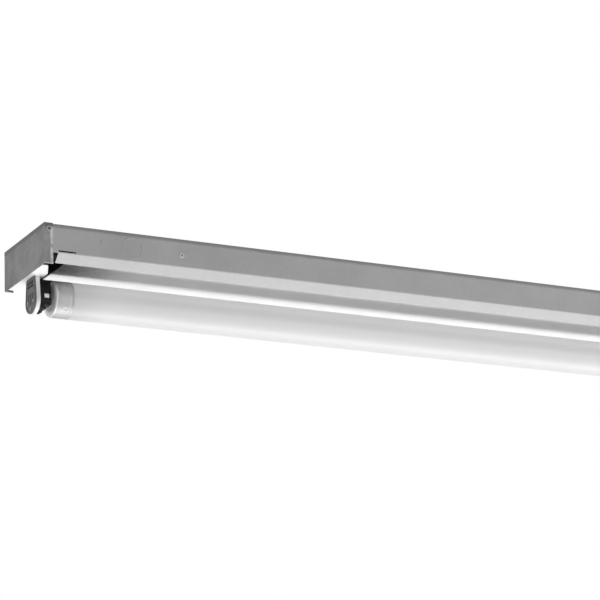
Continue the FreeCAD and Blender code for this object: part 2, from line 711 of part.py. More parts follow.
def make_holder_front(side):
    name = f"holder_front_{side_name(side)}"
    span = (holder_front_start, holder_face)
    top = shelf_level - front_top_gap
    parts = holder_outline(name, side, span, top, holder_step)
    bore = (from_end(side, holder_front_start + front_back_wall),
            from_end(side, holder_face + overrun))
    back = (from_end(side, holder_front_start - overrun),
            from_end(side, holder_face - contact_arm_gap + contact_play))
    half_entry = pin_diameter / 2 + entry_play
    tools = [
        rod(f"{name}_bore", "x", bore, (0, lamp_level), rotor_radius + rotor_play),
        block(f"{name}_entry", bore, (-half_entry, half_entry),
              (round_level - holder_radius - overrun, lamp_level)),
        rod(f"{name}_stub_hole", "x",
            (from_end(side, holder_front_start - overrun),
             from_end(side, holder_front_start + front_back_wall + overrun)),
            (0, lamp_level), rotor_stub_radius + rotor_play),
    ]
    nose = (from_end(side, holder_front_start + front_foot), from_end(side, holder_face + overrun))
    tools.append(block(f"{name}_under_nose", nose, (-holder_radius, holder_radius),
                       (round_level - holder_radius, lamp_level - rotor_radius - nose_rim)))
    half = contact_height / 2 + contact_play
    arm = contact_reach() + contact_sheet + contact_play
    arm_z = (lamp_level - half, lamp_level + half)
    for wide in sides:
        slot = ((rotor_radius - rotor_play) * wide, arm * wide)
        window = (arm * wide, (holder_radius + overrun) * wide)
        tools.append(block(f"{name}_arm_slot_{side_name(wide)}", back, slot, arm_z))
        tools.append(block(f"{name}_window_{side_name(wide)}", nose, window, arm_z))
    node(name, carve(f"{name}_cut", join(f"{name}_blank", parts), tools))


def make_contacts(side):
    name = f"contacts_{side_name(side)}"
    wall = holder_front_start - holder_wall
    tail_x = (from_end(side, wall - contact_sheet), from_end(side, wall))
    arm_x = (from_end(side, wall - contact_sheet), from_end(side, holder_face - contact_arm_gap))
    outer = contact_reach() + contact_sheet
    strips = []
    for wide in sides:
        key = f"{name}_{side_name(wide)}"
        arm = block(f"{key}_arm", arm_x, (contact_reach() * wide, outer * wide),
                    (lamp_level - contact_height / 2, lamp_level + contact_height / 2))
        tail = block(f"{key}_tail", tail_x, (contact_tail_start * wide, outer * wide),
                     (lamp_level - contact_height / 2, lamp_level + contact_tail_rise))
        strips.append(join(key, [arm, tail]))
    node(name, gather(f"{name}_set", strips))


def make_rotor(side):
    name = f"rotor_{side_name(side)}"
    back = holder_front_start + front_back_wall + rotor_end_play
    centre = (0, lamp_level)
    parts = [
        rod(f"{name}_barrel", "x", (from_end(side, back), from_end(side, holder_face)), centre,
            rotor_radius),
        rod(f"{name}_stub", "x",
            (from_end(side, back - rotor_stub_length), from_end(side, holder_face)), centre,
            rotor_stub_radius),
    ]
    half = pin_diameter / 2 + rotor_groove_play
    groove = block(f"{name}_groove",
                   (from_end(side, holder_face - rotor_groove_depth),
                    from_end(side, holder_face + overrun)), (-half, half),
                   (lamp_level - rotor_radius - overrun, lamp_level + rotor_radius + overrun))
    node(name, carve(f"{name}_cut", join(f"{name}_blank", parts), [groove]))


# Lamp

def make_glass():
    centre = (0, lamp_level)
    neck_start = end_space + disc_recess + disc_thickness
    neck_end = end_space + lamp_cap_length
    neck_radius = lamp_radius - lamp_cap_step - lamp_cap_wall - lamp_cap_play
    parts = [
        rod("tube", "x", (from_end(-1, neck_end), from_end(1, neck_end)), centre, lamp_radius),
        rod("tube_necks", "x", (from_end(-1, neck_start), from_end(1, neck_start)), centre,
            neck_radius),
    ]
    hollows = []
    for name, start, radius in (("tube_hollow", neck_end + glass_wall, lamp_radius),
                                ("neck_hollow", neck_start + glass_end, neck_radius)):
        hollows.append(rod(name, "x", (from_end(-1, start), from_end(1, start)), centre,
                           radius - glass_wall))
    node("lamp_glass", carve("tube_cut", join("tube_blank", parts), [join("tube_air", hollows)]))


def make_lamp_cap(side):
    name = f"lamp_cap_{side_name(side)}"
    centre = (0, lamp_level)
    outer = lamp_radius - lamp_cap_step
    shell = rod(f"{name}_shell", "x",
                (from_end(side, end_space), from_end(side, end_space + lamp_cap_length)),
                centre, outer)
    inside = rod(f"{name}_inside", "x",
                 (from_end(side, end_space + disc_recess + disc_thickness),
                  from_end(side, end_space + lamp_cap_length + overrun)),
                 centre, outer - lamp_cap_wall)
    window = rod(f"{name}_window", "x",
                 (from_end(side, end_space - overrun),
                  from_end(side, end_space + lamp_cap_length)), centre, disc_radius)
    node(name, carve(f"{name}_cut", shell, [inside, window]))


def pin_levels():
    return [lamp_level + pin_spacing * wide / 2 for wide in sides]


def make_lamp_disc(side):
    name = f"lamp_disc_{side_name(side)}"
    span = (from_end(side, end_space + disc_recess),
            from_end(side, end_space + disc_recess + disc_thickness))
    disc = rod(f"{name}_blank", "x", span, (0, lamp_level), disc_radius)
    long_span = (from_end(side, end_space - overrun),
                 from_end(side, end_space + disc_thickness + overrun))
    holes = [rod(f"{name}_hole_{number}", "x", long_span, (0, level), pin_diameter / 2)
             for number, level in enumerate(pin_levels())]
    node(name, carve(f"{name}_cut", disc, holes))


def make_pins(side):
    name = f"lamp_pins_{side_name(side)}"
    foot = end_space + disc_recess + disc_thickness
    tip = end_space - pin_reach
    chamfer = pin_diameter / 4
    pins = []
    for number, level in enumerate(pin_levels()):
        key = f"{name}_{number}"
        shank = rod(f"{key}_shank", "x", (from_end(side, tip + chamfer), from_end(side, foot)),
                    (0, level), pin_diameter / 2)
        point = taper(f"{key}_tip", "x", (from_end(side, tip), from_end(side, tip + chamfer)),
                      (0, level), (pin_diameter / 4, pin_diameter / 2))
        pins.append(join(key, [shank, point]))
    node(name, gather(f"{name}_set", pins))


def make_cathode(side):
    name = f"cathode_{side_name(side)}"
    foot = end_space + disc_recess + disc_thickness + glass_end
    tip = foot + stem_length
    centre = (0, lamp_level)
    parts = [taper(f"{name}_stem", "x", (from_end(side, foot), from_end(side, tip)), centre,
                   (stem_radius, stem_tip_radius))]
    for number, wide in enumerate(sides):
        place = (0, lamp_level + post_spacing * wide / 2)
        parts.append(rod(f"{name}_post_{number}", "x",
                         (from_end(side, foot), from_end(side, tip + post_length)), place,
                         post_radius))
    half_coil = post_spacing / 2 + coil_overhang
    parts.append(rod(f"{name}_coil", "z", (lamp_level - half_coil, lamp_level + half_coil),
                     (from_end(side, tip + post_length), 0), coil_radius))
    node(name, join(f"{name}_blank", parts))


# Ballast

def window_places():
    """Name, side, Y and wire pitch of each opening in the ballast's ends."""
    return (
        ("lamp_left", -1, as_size(0), wire_pitch),
        ("lamp_right", 1, as_size(0), wire_pitch),
        ("supply", -1, supply_offset, supply_pitch),
    )


def window_size(pitch):
    return pitch / 2 + wire_radius + bushing_rim, wire_radius + bushing_rim


def make_ballast():
    base_low = -sheet_thickness - ballast_base
    can_low = base_low - ballast_height
    half_width = ballast_width / 2
    ys = (-half_width, half_width)
    inner_y = half_width - ballast_wall
    inner_x = ballast_end - ballast_wall
    can = block("ballast_shell", (-ballast_end, ballast_end), ys, (can_low, base_low))
    tools = [block("ballast_inside", (-inner_x, inner_x), (-inner_y, inner_y),
                   (can_low + ballast_wall, base_low + overrun))]
    for name, side, place, pitch in window_places():
        wide, tall = window_size(pitch)
        tools.append(block(f"ballast_window_{name}",
                           ((ballast_end - overrun) * side, (ballast_end + overrun) * side),
                           (place - wide, place + wide), (-wire_level - tall, -wire_level + tall)))
    node("ballast_can", carve("ballast_can_cut", can, tools))
    filling_end = ballast_end - filling_gap
    node("ballast_filling", block("ballast_core", (-filling_end, filling_end),
                                  (-inner_y, inner_y), (can_low + ballast_wall, base_low)))
    ear = ballast_end + ballast_ear
    plate = block("ballast_plate", (-ear, ear), ys, (base_low, -sheet_thickness))
    holes = [rod(f"ballast_plate_hole_{side_name(side)}", "z",
                 (base_low - overrun, overrun), (ballast_screw_place(side), 0),
                 screw_radius + screw_play) for side in sides]
    node("ballast_base", carve("ballast_base_cut", plate, holes))
    screws = []
    for side in sides:
        centre = (ballast_screw_place(side), 0)
        name = f"ballast_screw_{side_name(side)}"
        head = rod(f"{name}_head", "z", (base_low - screw_head_height, base_low), centre,
                   screw_head_radius)
        shank = rod(f"{name}_shank", "z", (base_low - screw_head_height, 0), centre, screw_radius)
        screws.append(join(name, [head, shank]))
    node("ballast_screws", gather("ballast_screw_set", screws))


def make_bushings():
    bushings = []
    for name, side, place, pitch in window_places():
        wide, tall = window_size(pitch)
        xs = ((ballast_end + bushing_outside) * side,
              (ballast_end + bushing_outside - bushing_length) * side)
        blank = block(f"bushing_blank_{name}", xs, (place - wide, place + wide),
                      (-wire_level - tall, -wire_level + tall))
        holes = [rod(f"bushing_hole_{name}_{side_name(row)}", "x",
                     ((ballast_end + overrun) * side, (ballast_end - filling_gap) * side),
                     (place + pitch * row / 2, -wire_level), wire_radius + wire_play)
                 for row in sides]
        bushings.append(carve(f"bushing_{name}", blank, holes))
    node("ballast_bushings", gather("bushing_set", bushings))


# Wiring

def make_lamp_wires(side):
    """Two wires from the lampholder up over a bend and along to the ballast."""
    name = f"lamp_wires_{side_name(side)}"
    start_x = from_end(side, wire_setback).number
    low = (lamp_level + wire_end_rise).number
    level = -wire_level.number
    bend = wire_bend.number
    end_x = ((ballast_end - filling_gap) * side).number
    corner_x = start_x - bend * side
    middle = bend * (1 - math.sqrt(0.5))
    wires = []
    for row in sides:
        y = (wire_pitch * row / 2).number
        foot = FreeCAD.Vector(start_x, y, low)
        arc_start = FreeCAD.Vector(start_x, y, level - bend)
        arc_middle = FreeCAD.Vector(start_x - middle * side, y, level - middle)
        arc_end = FreeCAD.Vector(corner_x, y, level)
        finish = FreeCAD.Vector(end_x, y, level)
        path = Part.Wire([
            Part.LineSegment(foot, arc_start).toShape(),
            Part.Arc(arc_start, arc_middle, arc_end).toShape(),
            Part.LineSegment(arc_end, finish).toShape(),
        ])
        ring = Part.Circle(foot, FreeCAD.Vector(0, 0, 1), wire_radius.number).toShape()
        solid = path.makePipeShell([Part.Wire([ring])], True, False)
        expected = math.pi * wire_radius.number ** 2 * path.Length
        print(f"{name}: bend radius {bend}, volume {solid.Volume:.1f}, expected {expected:.1f}")
        wires.append(solid)
    feature = doc.addObject("Part::Feature", f"{name}_set")
    feature.Shape = Part.Compound(wires)
    feature.Placement = FreeCAD.Placement()
    node(name, feature)


def make_supply_leads():
    leads = []
    connectors = []
    for row in sides:
        name = side_name(row)
        centre = (supply_offset + supply_pitch * row / 2, -wire_level)
        lead_end = -(ballast_end + bushing_outside + supply_length)
        leads.append(rod(f"supply_lead_{name}", "x", (-(ballast_end - filling_gap), lead_end),
                         centre, wire_radius))
        shell = taper(f"connector_shell_{name}", "x",
                      (lead_end + connector_length / 2, lead_end - connector_length / 2), centre,
                      (connector_radius, connector_tip_radius))
        bore = rod(f"connector_bore_{name}", "x",
                   (lead_end + connector_length, lead_end), centre, wire_radius + wire_play)
        connectors.append(carve(f"connector_{name}", shell, [bore]))
    node("supply_leads", gather("supply_lead_set", leads))
    node("wire_connectors", gather("connector_set", connectors))


def make_clips():
    clips = []
    wide = wire_pitch / 2 + wire_radius + clip_rim
    low = -wire_level - wire_radius - clip_rim
    step = (half_length - clip_first - ballast_end - clip_last) / (clips_per_side - 1)
    for side in sides:
        for number in range(clips_per_side):
            name = f"clip_{side_name(side)}_{number}"
            middle = from_end(side, clip_first + step * number)
            xs = (middle - clip_length / 2, middle + clip_length / 2)
            blank = block(f"{name}_blank", xs, (-wide, wide), (low, -sheet_thickness))
            holes = [rod(f"{name}_hole_{side_name(row)}", "x",
                         (middle - clip_length, middle + clip_length),
                         (wire_pitch * row / 2, -wire_level), wire_radius + wire_play)
                     for row in sides]
            clips.append(carve(name, blank, holes))
    node("wire_clips", gather("clip_set", clips))


def make_ground_screw():
    centre = (-ground_place, ground_offset)
    washer_low = -sheet_thickness - washer_height
    head = doc.addObject("Part::Prism", "ground_head")
    head.setExpression("Circumradius", ground_radius.text)
    head.setExpression("Height", screw_head_height.text)
    stand(head, "z", washer_low - screw_head_height, centre)
    washer = rod("ground_washer", "z", (washer_low, -sheet_thickness), centre, washer_radius)
    shank = rod("ground_shank", "z", (washer_low, 0), centre, screw_radius)
    node("ground_screw", join("ground_screw_blank", [head, washer, shank]))


# Assembly

make_channel()
make_knockouts()
make_cover()
make_ballast()
make_bushings()
make_rivets()
make_supply_leads()
make_clips()
make_ground_screw()
make_glass()
for end in sides:
    make_end_cap(end)
    make_bridge(end)
    make_latch(end)
    make_holder_back(end)
    make_holder_body(end)
    make_holder_front(end)
    make_contacts(end)
    make_rotor(end)
    make_lamp_cap(end)
    make_lamp_disc(end)
    make_pins(end)
    make_cathode(end)
    make_lamp_wires(end)
doc.recompute()

faults = [item.Name for item in doc.Objects if {"Invalid", "Error"} & set(item.State)]
faults += [item.Label for item in nodes if item.Shape.isNull() or not item.Shape.isValid()]
if faults:
    raise RuntimeError(f"failed objects: {faults}")
for item in nodes:
    item.Shape.exportStep(f"parts/{item.Label}.step")
    print(item.Label, len(item.Shape.Solids), round(item.Shape.Volume, 1))
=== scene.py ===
import math

import bmesh
import bpy
from mathutils import Matrix, Vector


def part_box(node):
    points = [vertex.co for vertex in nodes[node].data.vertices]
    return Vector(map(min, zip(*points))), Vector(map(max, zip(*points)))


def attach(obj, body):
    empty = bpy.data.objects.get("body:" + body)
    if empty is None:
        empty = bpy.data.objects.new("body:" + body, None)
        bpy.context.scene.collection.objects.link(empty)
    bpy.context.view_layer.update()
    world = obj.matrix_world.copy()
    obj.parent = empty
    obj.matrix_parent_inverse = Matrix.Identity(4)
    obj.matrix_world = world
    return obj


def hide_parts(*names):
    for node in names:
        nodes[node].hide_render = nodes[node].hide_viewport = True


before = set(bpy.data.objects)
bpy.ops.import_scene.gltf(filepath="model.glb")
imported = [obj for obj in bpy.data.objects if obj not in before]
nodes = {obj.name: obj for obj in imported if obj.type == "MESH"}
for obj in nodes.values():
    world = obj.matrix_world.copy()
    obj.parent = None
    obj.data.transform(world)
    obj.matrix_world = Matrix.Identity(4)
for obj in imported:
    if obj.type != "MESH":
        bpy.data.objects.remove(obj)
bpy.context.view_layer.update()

# One-lamp fluorescent strip light, seen from below its left end.
# Metres. X runs along the lamp, Y across the channel, Z up to the ceiling.
# The outlines of small pieces, and the values beside them, are in millimetres.

mm = 0.001
side_names = ("left", "right")


# Camera

camera_place = Vector((-1.66415, -2.54566, -0.89918))
camera_azimuth = math.radians(27.98)
camera_elevation = math.radians(16.72)
camera_roll = math.radians(-2.18)
lens_mm = 169.16
sensor_mm = 36


def make_camera():
    data = bpy.data.cameras.new("camera")
    data.lens = lens_mm
    data.sensor_width = sensor_mm
    camera = bpy.data.objects.new("camera", data)
    turn = (
        Matrix.Rotation(-camera_azimuth, 4, "Z")
        @ Matrix.Rotation(math.pi / 2 + camera_elevation, 4, "X")
        @ Matrix.Rotation(camera_roll, 4, "Z")
    )
    camera.matrix_world = Matrix.Translation(camera_place) @ turn
    bpy.context.scene.collection.objects.link(camera)
    bpy.context.scene.camera = camera


# Node trees

class Tree:
    """Adds shader nodes to one tree and links them."""

    def __init__(self, owner):
        owner.use_nodes = True
        self.tree = owner.node_tree
        self.tree.nodes.clear()

    def add(self, kind, inputs=None, **settings):
        made = self.tree.nodes.new(f"ShaderNode{kind}")
        for name, value in settings.items():
            setattr(made, name, value)
        for name, value in (inputs or {}).items():
            self.put(made, name, value)
        return made

    def put(self, node, name, value):
        socket = node.inputs[name]
        if isinstance(value, bpy.types.NodeSocket):
            self.tree.links.new(value, socket)
        else:
            socket.default_value = value

    def math(self, operation, first, second=0.0, third=0.0):
        values = {0: first, 1: second, 2: third}
        return self.add("Math", values, operation=operation).outputs[0]

    def span(self, value, low, high, bottom=0.0, top=1.0):
        """Maps low..high to bottom..top, smoothly and clamped."""
        values = {"Value": value, "From Min": low, "From Max": high}
        values.update({"To Min": bottom, "To Max": top})
        return self.add("MapRange", values, interpolation_type="SMOOTHSTEP").outputs[0]

    def mix(self, share, first, second):
        """Mixes two colours, by the places of a Mix node's colour sockets."""
        return self.add("Mix", {0: share, 6: first, 7: second}, data_type="RGBA").outputs[2]

    def blend(self, share, first, second):
        """Mixes two numbers."""
        return self.add("Mix", {0: share, 2: first, 3: second}).outputs[0]

    def above(self, value, limit, width):
        """Rises from 0 to 1 as the value passes the limit."""
        return self.span(value, limit - width / 2, limit + width / 2)

    def below(self, value, limit, width):
        return self.span(value, limit - width / 2, limit + width / 2, 1.0, 0.0)

    def product(self, *values):
        result = values[0]
        for value in values[1:]:
            result = self.math("MULTIPLY", result, value)
        return result

    def axes(self, vector):
        return self.add("SeparateXYZ", {0: vector}).outputs

    def noise(self, vector, scale, detail=3.0, roughness=0.6):
        values = {"Vector": vector, "Scale": scale, "Detail": detail, "Roughness": roughness}
        return self.add("TexNoise", values).outputs["Fac"]


def grey(level):
    return (level, level, level, 1.0)


# Stage

white = grey(1.0)
floor_level = -2.4
floor_size = 40.0
floor_colour = grey(0.82)
floor_lift = 0.45


def make_floor():
    """A pale floor that looks near white to the camera and can be seen through from below."""
    mesh = bpy.data.meshes.new("floor")
    form = bmesh.new()
    bmesh.ops.create_grid(form, x_segments=1, y_segments=1, size=floor_size / 2)
    form.to_mesh(mesh)
    form.free()
    floor = bpy.data.objects.new("floor", mesh)
    floor.location.z = floor_level
    bpy.context.scene.collection.objects.link(floor)
    material = bpy.data.materials.new("floor")
    tree = Tree(material)
    path = tree.add("LightPath")
    lit = tree.add("BsdfDiffuse", {"Color": floor_colour})
    lift = tree.math("MULTIPLY", path.outputs["Is Camera Ray"], floor_lift)
    glow = tree.add("Emission", {"Color": white, "Strength": lift})
    both = tree.add("AddShader", {0: lit.outputs[0], 1: glow.outputs[0]})
    clear = tree.add("BsdfTransparent")
    under = tree.add("NewGeometry").outputs["Backfacing"]
    shown = tree.add("MixShader", {0: under, 1: both.outputs[0], 2: clear.outputs[0]})
    tree.add("OutputMaterial", {"Surface": shown.outputs[0]})
    mesh.materials.append(material)


# The world's strength, and the parts of a direction over which it changes
light_above = 0.52
light_around = 0.74
light_left_share = 0.04
upward_span = (-0.2, 0.9)
rightward_span = (-1.0, 0.2)


def make_world():
    """Soft light, weak from the left, behind a background that is plain white."""
    world = bpy.data.worlds.new("studio")
    bpy.context.scene.world = world
    tree = Tree(world)
    rightward, _, upward = tree.axes(tree.add("TexCoord").outputs["Generated"])
    level = tree.product(tree.span(upward, *upward_span, light_around, light_above),
                         tree.span(rightward, *rightward_span, light_left_share, 1.0))
    path = tree.add("LightPath").outputs
    seen = tree.math("MAXIMUM", path["Is Camera Ray"], path["Is Glossy Ray"])
    seen = tree.math("MAXIMUM", seen, path["Is Transmission Ray"])
    light = tree.add("Background", {"Color": white, "Strength": tree.blend(seen, level, 1.0)})
    tree.add("OutputWorld", {"Surface": light.outputs[0]})


# Each light's place, the point that it faces, its size and its power in watts
lights = {
    "light_below": ((0.25, -0.03, -1.0), (0.25, 0, 0), (3.2, 0.48), 20),
    "light_front": ((0.7, -1.6, -0.25), (0.4, 0, -0.04), (1.2, 0.5), 7.5),
}


def make_lights():
    for name, (place, target, size, watts) in lights.items():
        data = bpy.data.lights.new(name, "AREA")
        data.shape = "RECTANGLE"
        data.size, data.size_y = size
        data.energy = watts
        light = bpy.data.objects.new(name, data)
        aim = (Vector(target) - Vector(place)).to_track_quat("-Z", "Y")
        light.matrix_world = Matrix.Translation(place) @ aim.to_matrix().to_4x4()
        light.visible_camera = False
        bpy.context.scene.collection.objects.link(light)


# Surfaces

# Noise scales count cells to the metre.
cloud_scale = 14
grain_scale = 1200
speck_scale = grain_scale / 4
speck_share = 0.3
tone_span = (0.3, 0.7)
bend_span = (0.995, 0.93)
wear_span = (0.35, 0.6)
bevel_samples = 4
bump_height = 0.1 * mm


def surface(name, colour, roughness, metallic=0.0, blotch=0.03, relief=0.02, rough_spread=0.08,
            edge=0.0, edge_colour=None, paint=None, extra=None):
    """A material with uneven colour, uneven gloss, fine relief and softened edges."""
    material = bpy.data.materials.new(name)
    tree = Tree(material)
    place = tree.add("TexCoord").outputs["Object"]
    clouds = tree.noise(place, cloud_scale)
    specks = tree.noise(place, speck_scale, detail=2.0)
    mottle = tree.math("ADD", tree.math("MULTIPLY", clouds, 1 - speck_share),
                       tree.math("MULTIPLY", specks, speck_share))
    dark = [part * (1 - blotch) for part in colour[:3]] + [1.0]
    pale = [min(1.0, part * (1 + blotch)) for part in colour[:3]] + [1.0]
    tone = tree.mix(tree.span(mottle, *tone_span), dark, pale)
    if paint:
        tone = paint(tree, place, tone)
    soft = tree.add("Bevel", {"Radius": edge}, samples=bevel_samples).outputs[0] if edge else None
    if edge and edge_colour:
        flat = tree.add("NewGeometry").outputs["Normal"]
        bend = tree.add("VectorMath", {0: soft, 1: flat}, operation="DOT_PRODUCT").outputs["Value"]
        worn = tree.product(tree.span(bend, *bend_span), tree.span(specks, *wear_span))
        tone = tree.mix(worn, tone, edge_colour)
    gloss = tree.span(clouds, *tone_span, roughness - rough_spread, roughness + rough_spread)
    height = tree.noise(place, grain_scale, detail=2.0, roughness=0.5)
    bump_inputs = {"Height": height, "Strength": relief, "Distance": bump_height}
    if soft:
        bump_inputs["Normal"] = soft
    bump = tree.add("Bump", bump_inputs)
    shader = tree.add("BsdfPrincipled", {
        "Base Color": tone, "Roughness": gloss, "Metallic": metallic, "Normal": bump.outputs[0],
    })
    for socket, value in (extra or {}).items():
        shader.inputs[socket].default_value = value
    tree.add("OutputMaterial", {"Surface": shader.outputs[0]})
    return material


# Paints
# A paint changes a surface's tone by the place on the part, in the part's own frame. Several paints
# here are painted shade or painted light.

# The grey towards which the painted shade along the top edge, and the cap's stains and painted
# shade, darken the tone.
shade_and_stain_grey = grey(0.14)
top_shade_scale = 60
top_shade_wander = 1.6 * mm
top_shade_fade = 3.0 * mm
paint_fade = 0.2 * mm


def top_edge_shade(tree, place, tone, depth, share):
    """Painted shade: the tone darkens along the top, where a contact shadow against the ceiling
    falls.
    """
    height = tree.axes(place)[2]
    ragged = tree.math("MULTIPLY_ADD", tree.noise(place, top_shade_scale), top_shade_wander, height)
    shaded = tree.product(tree.above(ragged, -depth, top_shade_fade), share)
    return tree.mix(shaded, tone, shade_and_stain_grey)


cap_start, lamp_face = (corner.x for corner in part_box("lamp_cap_right"))
greyed_coat = grey(0.22)
greyed_share = 0.5
greyed_length = 45 * mm
greyed_overrun = 6 * mm
# Painted light on the flat ends of the lamp caps.
painted_light_metal = grey(0.95)
painted_light_depth = 1.4 * mm
painted_light_fade = 0.8 * mm


def greyed_ends(tree, place, tone):
    """The coating is darker towards the ends of the lamp."""
    along = tree.math("ABSOLUTE", tree.axes(place)[0])
    start, end = cap_start - greyed_length, cap_start + greyed_overrun
    return tree.mix(tree.span(along, start, end, 0.0, greyed_share), tone, greyed_coat)


def painted_light_face(tree, place, tone):
    """Painted light: the flat end of a lamp cap is painted brighter than its drawn wall, as if its
    face caught more light.
    """
    along = tree.math("ABSOLUTE", tree.axes(place)[0])
    return tree.mix(tree.above(along, lamp_face - painted_light_depth, painted_light_fade), tone, painted_light_metal)


cover_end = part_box("cover")[1].x
# Painted shade on the cover near the lamp's ends.
end_shade_grey = grey(0.05)
end_shade_length = 95 * mm
end_shade_overrun = 4 * mm
end_shade_half_width = 19 * mm
end_shade_fade = 6 * mm
end_shade_scale = 90
end_shade_span = (0.25, 0.6)
end_shade_thin_share = 0.75


def painted_end_shade(tree, place, tone):
    """Painted shade: the cover darkens near its ends, within the band that the lamp's shadow
    covers.
    """
    along, across, _ = tree.axes(place)
    along = tree.math("ABSOLUTE", along)
    share = tree.product(
        tree.span(along, cover_end - end_shade_length, cover_end + end_shade_overrun),
        tree.above(across, -end_shade_half_width, end_shade_fade),
        tree.below(across, end_shade_half_width, end_shade_fade),
        tree.span(tree.noise(place, end_shade_scale), *end_shade_span, end_shade_thin_share, 1.0),
    )
    return tree.mix(share, tone, end_shade_grey)


channel_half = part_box("channel")[1].y
channel_top_shade = 3.2 * mm
channel_top_shade_share = 0.62
# Near-black painted shade on the channel's inner faces.
inner_painted_shade = grey(0.035)
inner_shade_skin = 0.45 * mm
inner_shade_bottom = 30.0 * mm
inner_shade_bottom_fade = 1.0 * mm


def channel_paint(tree, place, tone):
    """Grey enamel outside. Inside, down to where the bevels begin, near-black painted shade stands
    for the shade within the channel.
    """
    _, across, height = tree.axes(place)
    across = tree.math("ABSOLUTE", across)
    inside = tree.product(
        tree.below(across, channel_half - inner_shade_skin, paint_fade),
        tree.below(height, -inner_shade_skin, paint_fade),
        tree.above(height, -inner_shade_bottom, inner_shade_bottom_fade),
    )
    tone = tree.mix(inside, tone, inner_painted_shade)
    return top_edge_shade(tree, place, tone, channel_top_shade, channel_top_shade_share)


cap_face = -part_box("end_cap_left")[0].x
cap_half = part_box("end_cap_left")[1].y
cap_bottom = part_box("end_cap_left")[0].z
cap_top_shade = 3.8 * mm
cap_top_shade_share = 0.95
# Stains that also darken the whole end plate: partly painted shade for a face turned from the
# light.
stain_and_shade_scale = 42
stain_and_shade_span = (0.32, 0.68)
stain_and_shade_shares = (0.20, 0.70)
shelf_white = grey(0.92)
shelf_setback = 0.9 * mm
shelf_depth = 0.5 * mm
# Pale grey for bare metal on cut edges, and for the painted highlight on the flanges' free edges.
bare_metal_and_painted_light = grey(0.74)
edge_highlight_scale = 160
edge_highlight_span = (0.3, 0.55)
edge_highlight_thin_share = 0.45
edge_highlight_depth = 0.4 * mm
edge_highlight_setback = 6.4 * mm
edge_highlight_fade = 0.8 * mm
cut_depth = 1.4 * mm
cut_height = 0.3 * mm


def cap_paint(tree, place, tone):
    """Grey enamel, stained and darkened by painted shade, with a white shelf, a painted highlight
    along the flanges' free edges and bare metal on their lower cut edges, which also paints light
    into their shade.
    """
    along, across, height = tree.axes(place)
    along = tree.math("ABSOLUTE", along)
    across = tree.math("ABSOLUTE", across)
    stains_and_shade = tree.noise(place, stain_and_shade_scale, detail=4.0, roughness=0.65)
    tone = tree.mix(tree.span(stains_and_shade, *stain_and_shade_span, *stain_and_shade_shares), tone, shade_and_stain_grey)
    shelf = tree.product(
        tree.below(along, cap_face - shelf_setback, paint_fade),
        tree.below(height, cap_bottom + shelf_depth, paint_fade),
    )
    tone = tree.mix(shelf, tone, shelf_white)
    # Painted highlight: a pale, broken stripe along each flange's free edge, where the edge catches
    # light.
    edge_highlight = tree.product(
        tree.above(across, cap_half - edge_highlight_depth, paint_fade),
        tree.below(along, cap_face - edge_highlight_setback, edge_highlight_fade),
        tree.span(tree.noise(place, edge_highlight_scale), *edge_highlight_span, edge_highlight_thin_share, 1.0),
    )
    # Bare metal on the flanges' lower cut edges, which also paints light into the shade on their
    # inner faces.
    cut = tree.product(
        tree.above(across, cap_half - cut_depth, paint_fade),
        tree.below(height, cap_bottom + cut_height, paint_fade),
    )
    tone = tree.mix(tree.math("MAXIMUM", edge_highlight, cut), tone, bare_metal_and_painted_light)
    return top_edge_shade(tree, place, tone, cap_top_shade, cap_top_shade_share)


# Finishes

